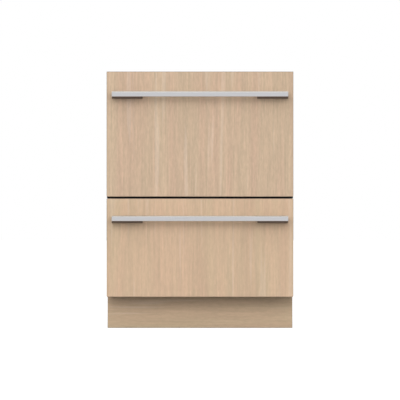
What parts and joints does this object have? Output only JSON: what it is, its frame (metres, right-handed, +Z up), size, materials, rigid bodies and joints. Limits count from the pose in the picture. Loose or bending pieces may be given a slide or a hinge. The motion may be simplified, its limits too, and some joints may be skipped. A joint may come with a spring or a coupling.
{
  "type": "dishwasher drawer",
  "caption": "Panel-ready double drawer dishwasher with sliding tubs, bar handles, wooden fronts and a recessed plinth.",
  "frame": {"origin": "on the floor, under the centre of the whole appliance's bounding box", "axes": "+Z up, the wooden fronts and handles face -Y, +X to the right seen from the front"},
  "size_m": [0.596, 0.6104, 0.82],
  "materials": {
    "oak_front": "straight-grained pale oak veneer, clear matt lacquer, grain upright",
    "oak_plinth": "pale oak veneer, clear matt lacquer, grain level",
    "handle_steel": "satin steel, brushed lengthways",
    "bracket_dark": "dark bronze-grey satin paint",
    "zinc_sheet": "zinc-coated sheet steel with faint spangle",
    "stainless_tub": "pressed stainless steel, fine satin",
    "front_plastic": "charcoal moulding, fine spark texture",
    "lid_plastic": "pale grey moulding",
    "seal_rubber": "soft grey elastomer",
    "coated_wire": "grey nylon-dipped wire",
    "grey_plastic": "mid grey moulding",
    "pale_plastic": "pale grey moulding",
    "black_plastic": "black moulding",
    "runner_zinc": "bright zinc-plated steel",
    "button_plastic": "light grey cap"
  },
  "bodies": {
    "chassis": {"side_panel_left": "zinc_sheet", "side_panel_right": "zinc_sheet", "rear_panel": "zinc_sheet", "top_cover": "zinc_sheet", "base_tray": "zinc_sheet", "middle_rail": "zinc_sheet", "plinth_panel": "oak_plinth", "service_plate": "grey_plastic", "upper_runner_left_fixed": "runner_zinc", "upper_runner_right_fixed": "runner_zinc", "lower_runner_left_fixed": "runner_zinc", "lower_runner_right_fixed": "runner_zinc"},
    "foot_front_left": {"foot_front_left": "black_plastic"},
    "foot_front_right": {"foot_front_right": "black_plastic"},
    "foot_rear_left": {"foot_rear_left": "black_plastic"},
    "foot_rear_right": {"foot_rear_right": "black_plastic"},
    "upper_drawer": {"upper_front_panel": "oak_front", "upper_front_carrier": "front_plastic", "upper_handle_bar": "handle_steel", "upper_handle_bracket_left": "bracket_dark", "upper_handle_bracket_right": "bracket_dark", "upper_tub": "stainless_tub", "upper_filter_plate": "grey_plastic", "upper_wash_motor": "black_plastic", "upper_basket": "coated_wire", "upper_dispenser_body": "pale_plastic", "upper_runner_left_inner": "runner_zinc", "upper_runner_right_inner": "runner_zinc"},
    "upper_runner_left": {"upper_runner_left_middle": "runner_zinc"},
    "upper_runner_right": {"upper_runner_right_middle": "runner_zinc"},
    "upper_lid": {"upper_lid": "lid_plastic", "upper_lid_seal": "seal_rubber"},
    "upper_spray_arm": {"upper_spray_arm": "grey_plastic"},
    "upper_fold_tines": {"upper_fold_tines": "coated_wire"},
    "upper_cup_rack": {"upper_cup_rack": "pale_plastic"},
    "upper_dispenser_cover": {"upper_dispenser_cover": "grey_plastic"},
    "upper_power_button": {"upper_power_button": "button_plastic"},
    "upper_start_button": {"upper_start_button": "button_plastic"},
    "lower_drawer": {"lower_front_panel": "oak_front", "lower_front_carrier": "front_plastic", "lower_handle_bar": "handle_steel", "lower_handle_bracket_left": "bracket_dark", "lower_handle_bracket_right": "bracket_dark", "lower_tub": "stainless_tub", "lower_filter_plate": "grey_plastic", "lower_wash_motor": "black_plastic", "lower_basket": "coated_wire", "lower_dispenser_body": "pale_plastic", "lower_runner_left_inner": "runner_zinc", "lower_runner_right_inner": "runner_zinc"},
    "lower_runner_left": {"lower_runner_left_middle": "runner_zinc"},
    "lower_runner_right": {"lower_runner_right_middle": "runner_zinc"},
    "lower_lid": {"lower_lid": "lid_plastic", "lower_lid_seal": "seal_rubber"},
    "lower_spray_arm": {"lower_spray_arm": "grey_plastic"},
    "lower_fold_tines": {"lower_fold_tines": "coated_wire"},
    "lower_cup_rack": {"lower_cup_rack": "pale_plastic"},
    "lower_dispenser_cover": {"lower_dispenser_cover": "grey_plastic"},
    "lower_power_button": {"lower_power_button": "button_plastic"},
    "lower_start_button": {"lower_start_button": "button_plastic"}
  },
  "joints": [
    {"name": "foot_front_left_height", "type": "slide", "parent": "chassis", "child": "foot_front_left", "axis": [0, 0, -1], "range_m": [0, 0.03]},
    {"name": "foot_front_right_height", "type": "slide", "parent": "chassis", "child": "foot_front_right", "axis": [0, 0, -1], "range_m": [0, 0.03]},
    {"name": "foot_rear_left_height", "type": "slide", "parent": "chassis", "child": "foot_rear_left", "axis": [0, 0, -1], "range_m": [0, 0.03]},
    {"name": "foot_rear_right_height", "type": "slide", "parent": "chassis", "child": "foot_rear_right", "axis": [0, 0, -1], "range_m": [0, 0.03]},
    {"name": "upper_drawer_slide", "type": "slide", "parent": "chassis", "child": "upper_drawer", "axis": [0, -1, 0], "range_m": [0, 0.46]},
    {"name": "upper_runner_left_slide", "type": "slide", "parent": "chassis", "child": "upper_runner_left", "axis": [0, -1, 0], "range_m": [0, 0.23]},
    {"name": "upper_runner_right_slide", "type": "slide", "parent": "chassis", "child": "upper_runner_right", "axis": [0, -1, 0], "range_m": [0, 0.23]},
    {"name": "upper_lid_press", "type": "slide", "parent": "chassis", "child": "upper_lid", "axis": [0, 0, -1], "range_m": [0, 0.01]},
    {"name": "upper_spray_arm_spin", "type": "hinge", "parent": "upper_drawer", "child": "upper_spray_arm", "pos_m": [0, 0.0203, 0.505], "axis": [0, 0, 1], "continuous": true},
    {"name": "upper_tines_fold", "type": "hinge", "parent": "upper_drawer", "child": "upper_fold_tines", "pos_m": [-0.082, 0.0203, 0.5484], "axis": [0, 1, 0], "range_deg": [0, 80]},
    {"name": "upper_cup_rack_fold", "type": "hinge", "parent": "upper_drawer", "child": "upper_cup_rack", "pos_m": [0.2579, 0.0203, 0.621], "axis": [0, 1, 0], "range_deg": [0, 80]},
    {"name": "upper_dispenser_slide", "type": "slide", "parent": "upper_drawer", "child": "upper_dispenser_cover", "axis": [1, 0, 0], "range_m": [0, 0.07]},
    {"name": "upper_power_button_press", "type": "slide", "parent": "upper_drawer", "child": "upper_power_button", "axis": [0, 0, -1], "range_m": [0, 0.0015], "stiffness_N_per_m": 400, "springref_m": -0.001},
    {"name": "upper_start_button_press", "type": "slide", "parent": "upper_drawer", "child": "upper_start_button", "axis": [0, 0, -1], "range_m": [0, 0.0015], "stiffness_N_per_m": 400, "springref_m": -0.001},
    {"name": "lower_drawer_slide", "type": "slide", "parent": "chassis", "child": "lower_drawer", "axis": [0, -1, 0], "range_m": [0, 0.46]},
    {"name": "lower_runner_left_slide", "type": "slide", "parent": "chassis", "child": "lower_runner_left", "axis": [0, -1, 0], "range_m": [0, 0.23]},
    {"name": "lower_runner_right_slide", "type": "slide", "parent": "chassis", "child": "lower_runner_right", "axis": [0, -1, 0], "range_m": [0, 0.23]},
    {"name": "lower_lid_press", "type": "slide", "parent": "chassis", "child": "lower_lid", "axis": [0, 0, -1], "range_m": [0, 0.01]},
    {"name": "lower_spray_arm_spin", "type": "hinge", "parent": "lower_drawer", "child": "lower_spray_arm", "pos_m": [0, 0.0203, 0.17], "axis": [0, 0, 1], "continuous": true},
    {"name": "lower_tines_fold", "type": "hinge", "parent": "lower_drawer", "child": "lower_fold_tines", "pos_m": [-0.082, 0.0203, 0.2134], "axis": [0, 1, 0], "range_deg": [0, 80]},
    {"name": "lower_cup_rack_fold", "type": "hinge", "parent": "lower_drawer", "child": "lower_cup_rack", "pos_m": [0.2579, 0.0203, 0.286], "axis": [0, 1, 0], "range_deg": [0, 80]},
    {"name": "lower_dispenser_slide", "type": "slide", "parent": "lower_drawer", "child": "lower_dispenser_cover", "axis": [1, 0, 0], "range_m": [0, 0.07]},
    {"name": "lower_power_button_press", "type": "slide", "parent": "lower_drawer", "child": "lower_power_button", "axis": [0, 0, -1], "range_m": [0, 0.0015], "stiffness_N_per_m": 400, "springref_m": -0.001},
    {"name": "lower_start_button_press", "type": "slide", "parent": "lower_drawer", "child": "lower_start_button", "axis": [0, 0, -1], "range_m": [0, 0.0015], "stiffness_N_per_m": 400, "springref_m": -0.001}
  ],
  "couplings": [
    {"joint": "upper_runner_left_slide", "follows": "upper_drawer_slide", "ratio": 0.5},
    {"joint": "upper_runner_right_slide", "follows": "upper_drawer_slide", "ratio": 0.5},
    {"joint": "lower_runner_left_slide", "follows": "lower_drawer_slide", "ratio": 0.5},
    {"joint": "lower_runner_right_slide", "follows": "lower_drawer_slide", "ratio": 0.5}
  ]
}
